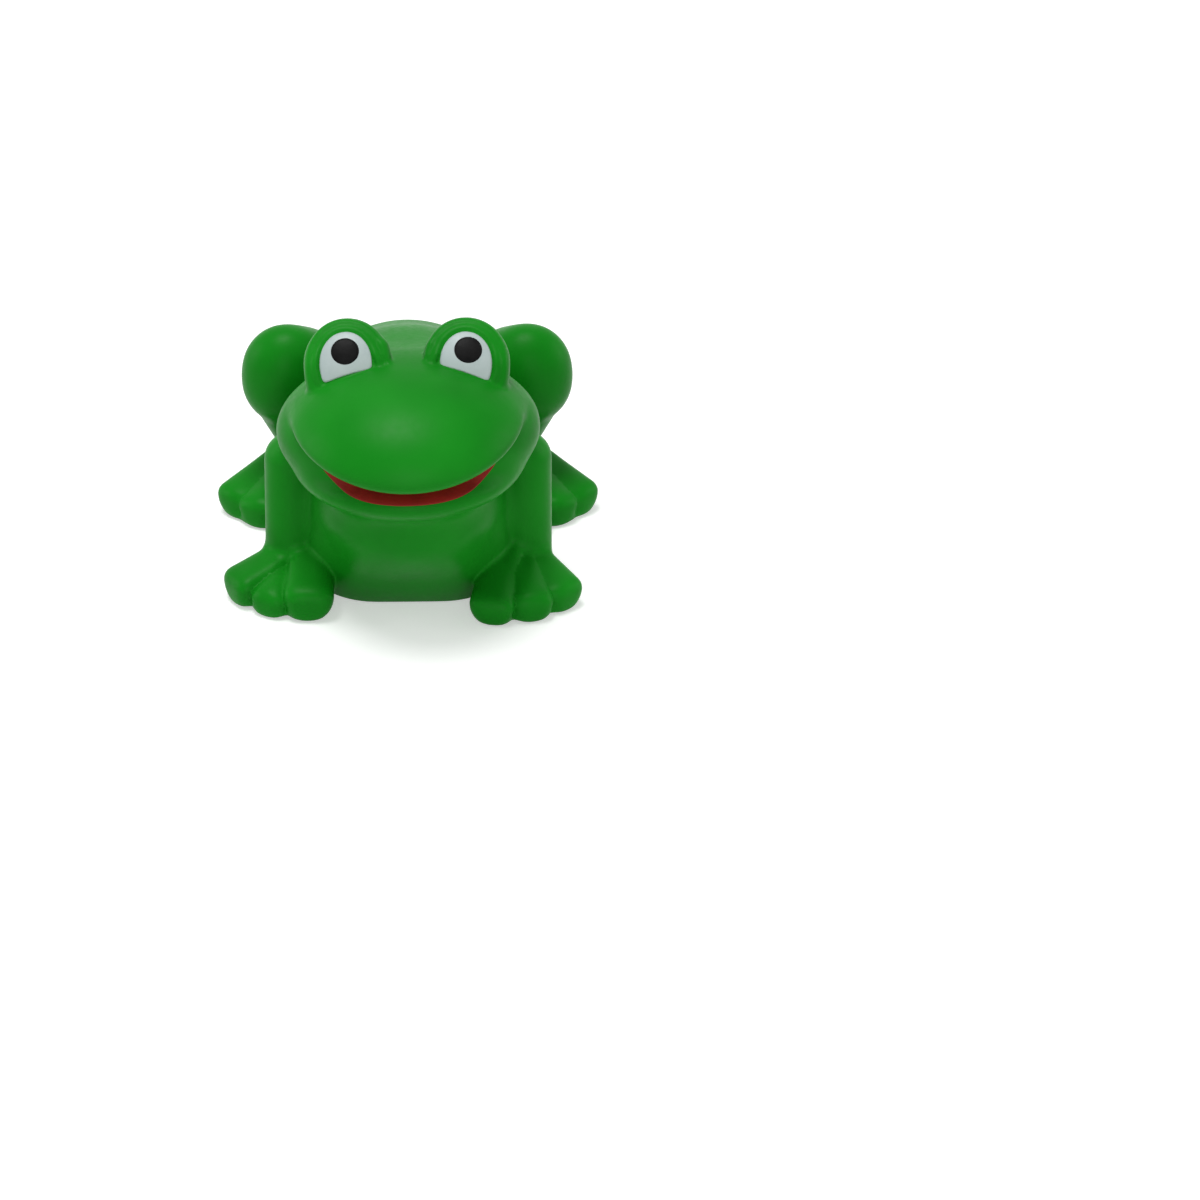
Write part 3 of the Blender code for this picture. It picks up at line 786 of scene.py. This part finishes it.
def mouth_film():
    """The painted band of the lower jaw: a thin strip laid on its upper slope."""
    x = np.linspace(-MOUTH_HALF, MOUTH_HALF, MOUTH_COLUMNS)[:, None]
    v = np.linspace(0, 1, MOUTH_ROWS)[None]
    pinch = MOUTH_PINCH * np.abs(x / MOUTH_HALF) ** MOUTH_PINCH_POWER
    edge = MOUTH_EDGE + MOUTH_EDGE_RISE * (x / MOUTH_EDGE_AT) ** MOUTH_EDGE_POWER
    z = edge + (pinch + v * (1 - pinch)) * MOUTH_BAND
    x = x + 0 * v
    c = math.cos(HEAD_ROLL)
    s = math.sin(HEAD_ROLL)
    level = z - HEAD_PIVOT
    ahead = np.full(x.shape, MOUTH_START_Y)
    p = np.stack((c * x - s * level, ahead, s * x + c * level + HEAD_PIVOT), -1)
    p = p.reshape(-1, 3).astype(REAL)
    for _ in range(MOUTH_STEPS):
        p[:, 1] += np.clip(frog(p), -1, 1) * MOUTH_STRIDE
    way = gradient(frog, p)
    way /= np.linalg.norm(way, axis=1)[:, None]
    upper = p + MOUTH_PROUD * way
    lower = p - MOUTH_THICKNESS * way
    n = len(p)
    grid = np.arange(n).reshape(MOUTH_COLUMNS, MOUTH_ROWS)
    a, b, d, e = (w.reshape(-1) for w in (grid[:-1, :-1], grid[1:, :-1], grid[1:, 1:], grid[:-1, 1:]))
    faces = [tuple(f) for f in np.stack((a, b, d, e), 1).tolist()]
    faces += [tuple(f) for f in (n + np.stack((e, d, b, a), 1)).tolist()]
    rim = np.concatenate((grid[:, 0], grid[-1, 1:], grid[-2::-1, -1], grid[0, -2:0:-1]))
    after = np.roll(rim, -1)
    faces += [tuple(f) for f in np.stack((after, rim, n + rim, n + after), 1).tolist()]
    return new_object("mouth_film", np.concatenate((upper, lower)), faces)


# Materials: bump depths in metres

NOISE_LOW = 0.3
NOISE_HIGH = 0.7
GREEN_SPECULAR = 0.07
BLACK_SPECULAR = 0.06
RED_SPECULAR = 0.15
GREEN_SWELL = 0.00025
GREEN_GRAIN = 0.000014
GREEN_PORES = 0.000004
WHITE_GRAIN = 0.00002
BLACK_GRAIN = 0.00003
RED_GRAIN = 0.00002


def material(name):
    mat = bpy.data.materials.new(name)
    mat.use_nodes = True
    tree = mat.node_tree
    return mat, tree, tree.nodes["Principled BSDF"]


def noise(tree, source, scale, detail, rough):
    node = tree.nodes.new("ShaderNodeTexNoise")
    node.inputs["Scale"].default_value = scale
    node.inputs["Detail"].default_value = detail
    node.inputs["Roughness"].default_value = rough
    tree.links.new(source, node.inputs["Vector"])
    return node.outputs["Fac"]


def colours(tree, fac, stops):
    node = tree.nodes.new("ShaderNodeValToRGB")
    while len(node.color_ramp.elements) < len(stops):
        node.color_ramp.elements.new(0.5)
    for element, (place, colour) in zip(node.color_ramp.elements, stops):
        element.position = place
        element.color = (*colour, 1)
    tree.links.new(fac, node.inputs["Fac"])
    return node.outputs["Color"]


def spread(tree, fac, low, high):
    """The middle stretch of a noise, laid between two values."""
    node = tree.nodes.new("ShaderNodeMapRange")
    node.inputs["From Min"].default_value = NOISE_LOW
    node.inputs["From Max"].default_value = NOISE_HIGH
    node.inputs["To Min"].default_value = low
    node.inputs["To Max"].default_value = high
    tree.links.new(fac, node.inputs["Value"])
    return node.outputs["Result"]


def bump(tree, shader, layers):
    """Layers of (height, depth) one over the other."""
    normal = None
    for height, depth in layers:
        node = tree.nodes.new("ShaderNodeBump")
        node.inputs["Strength"].default_value = 1.0
        node.inputs["Distance"].default_value = depth
        tree.links.new(height, node.inputs["Height"])
        if normal is not None:
            tree.links.new(normal, node.inputs["Normal"])
        normal = node.outputs["Normal"]
    tree.links.new(normal, shader.inputs["Normal"])


def place(tree):
    return tree.nodes.new("ShaderNodeTexCoord").outputs["Object"]


def green_skin():
    mat, tree, shader = material("green_foam_skin")
    where = place(tree)
    cloud = noise(tree, where, scale=38, detail=3, rough=0.55)
    grain = noise(tree, where, scale=900, detail=2, rough=0.6)
    pores = noise(tree, where, scale=3200, detail=1, rough=0.5)
    tone = colours(tree, cloud, (
        (0.30, (0.0035, 0.176, 0.0060)),
        (0.50, (0.0055, 0.214, 0.0085)),
        (0.72, (0.0090, 0.246, 0.0120)),
    ))
    tree.links.new(tone, shader.inputs["Base Color"])
    tree.links.new(spread(tree, grain, low=0.35, high=0.44), shader.inputs["Roughness"])
    shader.inputs["Specular IOR Level"].default_value = GREEN_SPECULAR
    bump(tree, shader, ((cloud, GREEN_SWELL), (grain, GREEN_GRAIN), (pores, GREEN_PORES)))
    return mat


def white_paint():
    mat, tree, shader = material("white_paint")
    where = place(tree)
    cloud = noise(tree, where, scale=240, detail=3, rough=0.6)
    grain = noise(tree, where, scale=1600, detail=2, rough=0.6)
    tone = colours(tree, cloud, ((0.25, (0.370, 0.445, 0.440)), (0.75, (0.435, 0.510, 0.500))))
    tree.links.new(tone, shader.inputs["Base Color"])
    tree.links.new(spread(tree, grain, low=0.42, high=0.55), shader.inputs["Roughness"])
    bump(tree, shader, ((grain, WHITE_GRAIN),))
    return mat


def black_paint():
    mat, tree, shader = material("black_paint")
    where = place(tree)
    cloud = noise(tree, where, scale=420, detail=3, rough=0.6)
    grain = noise(tree, where, scale=1500, detail=2, rough=0.6)
    tone = colours(tree, cloud, ((0.3, (0.0030, 0.0030, 0.0032)), (0.7, (0.0075, 0.0074, 0.0074))))
    tree.links.new(tone, shader.inputs["Base Color"])
    tree.links.new(spread(tree, cloud, low=0.36, high=0.48), shader.inputs["Roughness"])
    shader.inputs["Specular IOR Level"].default_value = BLACK_SPECULAR
    bump(tree, shader, ((grain, BLACK_GRAIN),))
    return mat


def red_paint():
    mat, tree, shader = material("red_paint")
    where = place(tree)
    cloud = noise(tree, where, scale=260, detail=3, rough=0.6)
    grain = noise(tree, where, scale=1500, detail=2, rough=0.6)
    tone = colours(tree, cloud, ((0.3, (0.215, 0.0105, 0.0070)), (0.7, (0.310, 0.0150, 0.0100))))
    tree.links.new(tone, shader.inputs["Base Color"])
    tree.links.new(spread(tree, grain, low=0.45, high=0.60), shader.inputs["Roughness"])
    shader.inputs["Specular IOR Level"].default_value = RED_SPECULAR
    bump(tree, shader, ((grain, RED_GRAIN),))
    return mat


# Pieces on their bodies

forms = divide()
green = green_skin()
white = white_paint()
black = black_paint()
red = red_paint()


def dress(obj, mat, nodes):
    """A piece's material; the CAD nodes that it stands for are hidden."""
    obj.data.materials.append(mat)
    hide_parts(*nodes)


NODES = {
    "torso_form": ("torso_skin", "torso_core"),
    "left_foreleg_form": ("left_foreleg",),
    "right_foreleg_form": ("right_foreleg",),
    "neck_band": ("neck_foam",),
    "left_hip_band": ("left_hip_foam",),
    "right_hip_band": ("right_hip_foam",),
    "head_form": ("head_skin", "head_core"),
    "left_leg_form": ("left_hind_leg",),
    "right_leg_form": ("right_hind_leg",),
}
BODIES = {
    "torso_form": "torso",
    "left_foreleg_form": "torso",
    "right_foreleg_form": "torso",
    "head_form": "head",
    "left_leg_form": "left_leg",
    "right_leg_form": "right_leg",
}
for name, obj in forms.items():
    dress(obj, green, NODES[name])
    if name in BODIES:
        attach(obj, BODIES[name])
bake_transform(forms["neck_band"])
for side, name in SIDES:
    band = forms[name + "_hip_band"]
    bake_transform(band)

for side, name in SIDES:
    outline = white_outline(WHITE_POINTS, side)
    eye_white = film(name + "_white_film", outline, WHITE_RINGS, white_top, WHITE_THICKNESS, side)
    dress(eye_white, white, (name + "_eye_white",))
    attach(eye_white, "head")
    outline = pupil_outline(PUPIL_POINTS, side)
    pupil = film(name + "_pupil_film", outline, PUPIL_RINGS, pupil_top, PUPIL_THICKNESS, side)
    dress(pupil, black, (name + "_pupil",))
    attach(pupil, "head")
mouth = mouth_film()
dress(mouth, red, ("mouth_lining",))
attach(mouth, "head")

# Floor, light and camera, in metres
# The floor's own glow: two distances from the object, and its strength at each.

FLOOR_HALF = 2.5
FLOOR_Z = -0.00005
FLOOR_TONE = (0.80, 0.80, 0.80, 1)
FLOOR_ROUGH = 0.9
FLOOR_SPECULAR = 0.1
FLOOR_GLOW = (0.25, 0.90, 0.45, 1.00)
PLAIN_WHITE = (1, 1, 1, 1)
WORLD_LIGHT = 0.25
WORLD_SEEN = 1.0
bpy.ops.mesh.primitive_plane_add(size=2 * FLOOR_HALF, location=(0, 0, FLOOR_Z))
floor = bpy.context.object
floor.name = "floor"


def seen_directly(tree):
    """1 for what the camera sees, also in a reflection or through glass."""
    path = tree.nodes.new("ShaderNodeLightPath")
    seen = path.outputs["Is Camera Ray"]
    for ray in ("Is Glossy Ray", "Is Transmission Ray"):
        both = tree.nodes.new("ShaderNodeMath")
        both.operation = "MAXIMUM"
        tree.links.new(seen, both.inputs[0])
        tree.links.new(path.outputs[ray], both.inputs[1])
        seen = both.outputs[0]
    return seen


def floor_paint():
    """A pale floor that takes shadows, and is white further away from the object."""
    mat, tree, shader = material("pale_floor")
    shader.inputs["Base Color"].default_value = FLOOR_TONE
    shader.inputs["Roughness"].default_value = FLOOR_ROUGH
    shader.inputs["Specular IOR Level"].default_value = FLOOR_SPECULAR
    glow = tree.nodes.new("ShaderNodeEmission")
    glow.inputs["Color"].default_value = PLAIN_WHITE
    away = tree.nodes.new("ShaderNodeVectorMath")
    away.operation = "LENGTH"
    tree.links.new(place(tree), away.inputs[0])
    paler = tree.nodes.new("ShaderNodeMapRange")
    for socket, value in zip(("From Min", "From Max", "To Min", "To Max"), FLOOR_GLOW):
        paler.inputs[socket].default_value = value
    tree.links.new(away.outputs["Value"], paler.inputs["Value"])
    amount = tree.nodes.new("ShaderNodeMath")
    amount.operation = "MULTIPLY"
    tree.links.new(paler.outputs["Result"], amount.inputs[1])
    tree.links.new(seen_directly(tree), amount.inputs[0])
    tree.links.new(amount.outputs[0], glow.inputs["Strength"])
    both = tree.nodes.new("ShaderNodeAddShader")
    tree.links.new(shader.outputs[0], both.inputs[0])
    tree.links.new(glow.outputs[0], both.inputs[1])
    tree.links.new(both.outputs[0], tree.nodes["Material Output"].inputs["Surface"])
    return mat


floor.data.materials.append(floor_paint())


def lamp(name, place_at, width, watts):
    light = bpy.data.lights.new(name, "AREA")
    light.shape = "DISK"
    light.size = width
    light.energy = watts
    obj = bpy.data.objects.new(name, light)
    obj.location = place_at
    obj.rotation_euler = (Vector(place_at) - Vector(LAMP_AIM)).to_track_quat("Z", "Y").to_euler()
    bpy.context.scene.collection.objects.link(obj)


LAMP_AIM = (0, 0, 0.025)
lamp("key", (-0.12, -0.06, 0.93), width=0.42, watts=6.0)
lamp("front", (0.0, -1.00, 0.30), width=0.70, watts=2.3)
lamp("left", (-0.86, 0.10, 0.28), width=0.50, watts=1.5)
lamp("right", (0.86, 0.10, 0.28), width=0.50, watts=1.5)
lamp("back", (0.10, 0.80, 0.60), width=0.50, watts=0.25)


def backdrop():
    """White where it is seen, and a soft fill light on the object."""
    world = bpy.data.worlds.new("studio")
    world.use_nodes = True
    tree = world.node_tree
    tree.nodes.clear()
    plain = tree.nodes.new("ShaderNodeBackground")
    plain.inputs["Color"].default_value = PLAIN_WHITE
    plain.inputs["Strength"].default_value = WORLD_LIGHT
    bright = tree.nodes.new("ShaderNodeBackground")
    bright.inputs["Color"].default_value = PLAIN_WHITE
    bright.inputs["Strength"].default_value = WORLD_SEEN
    mix = tree.nodes.new("ShaderNodeMixShader")
    tree.links.new(seen_directly(tree), mix.inputs[0])
    tree.links.new(plain.outputs[0], mix.inputs[1])
    tree.links.new(bright.outputs[0], mix.inputs[2])
    out = tree.nodes.new("ShaderNodeOutputWorld")
    tree.links.new(mix.outputs[0], out.inputs["Surface"])
    bpy.context.scene.world = world


backdrop()

PHOTO = 1200
SENSOR = 36.0
LENS = 91.6
LENS_TRIM = 0.995  # last correction of the size in the frame
CLIP = (0.01, 20)
VIEW_TARGET = Vector((0, 0.005, 0.024))
VIEW_DISTANCE = 0.575
VIEW_ELEVATION = math.radians(26.85)
VIEW_ROLL = math.radians(-0.39)
TARGET_PIXEL = (407.13, 420.66)


def look():
    """A camera that puts the view's target on its pixel of the frame by turning, with no shift."""
    back = Vector((0, -math.cos(VIEW_ELEVATION), math.sin(VIEW_ELEVATION)))
    right = Vector((1, 0, 0))
    up = back.cross(right)
    c = math.cos(VIEW_ROLL)
    s = math.sin(VIEW_ROLL)
    right, up = c * right + s * up, c * up - s * right
    base = Matrix((right, up, back)).transposed()
    pixels = LENS / SENSOR * PHOTO
    across = (TARGET_PIXEL[0] - PHOTO / 2) / pixels
    up_frame = (PHOTO / 2 - TARGET_PIXEL[1]) / pixels
    ray = Vector((across, up_frame, -1)).normalized()
    aside = ray.rotation_difference(Vector((0, 0, -1))).to_matrix()
    data = bpy.data.cameras.new("camera")
    data.sensor_width = SENSOR
    data.lens = LENS * LENS_TRIM
    data.clip_start = CLIP[0]
    data.clip_end = CLIP[1]
    camera = bpy.data.objects.new("camera", data)
    bpy.context.scene.collection.objects.link(camera)
    camera.matrix_world = Matrix.Translation(VIEW_TARGET + back * VIEW_DISTANCE) @ (base @ aside).to_4x4()
    bpy.context.scene.camera = camera


look()
bpy.context.scene.view_settings.view_transform = "Standard"
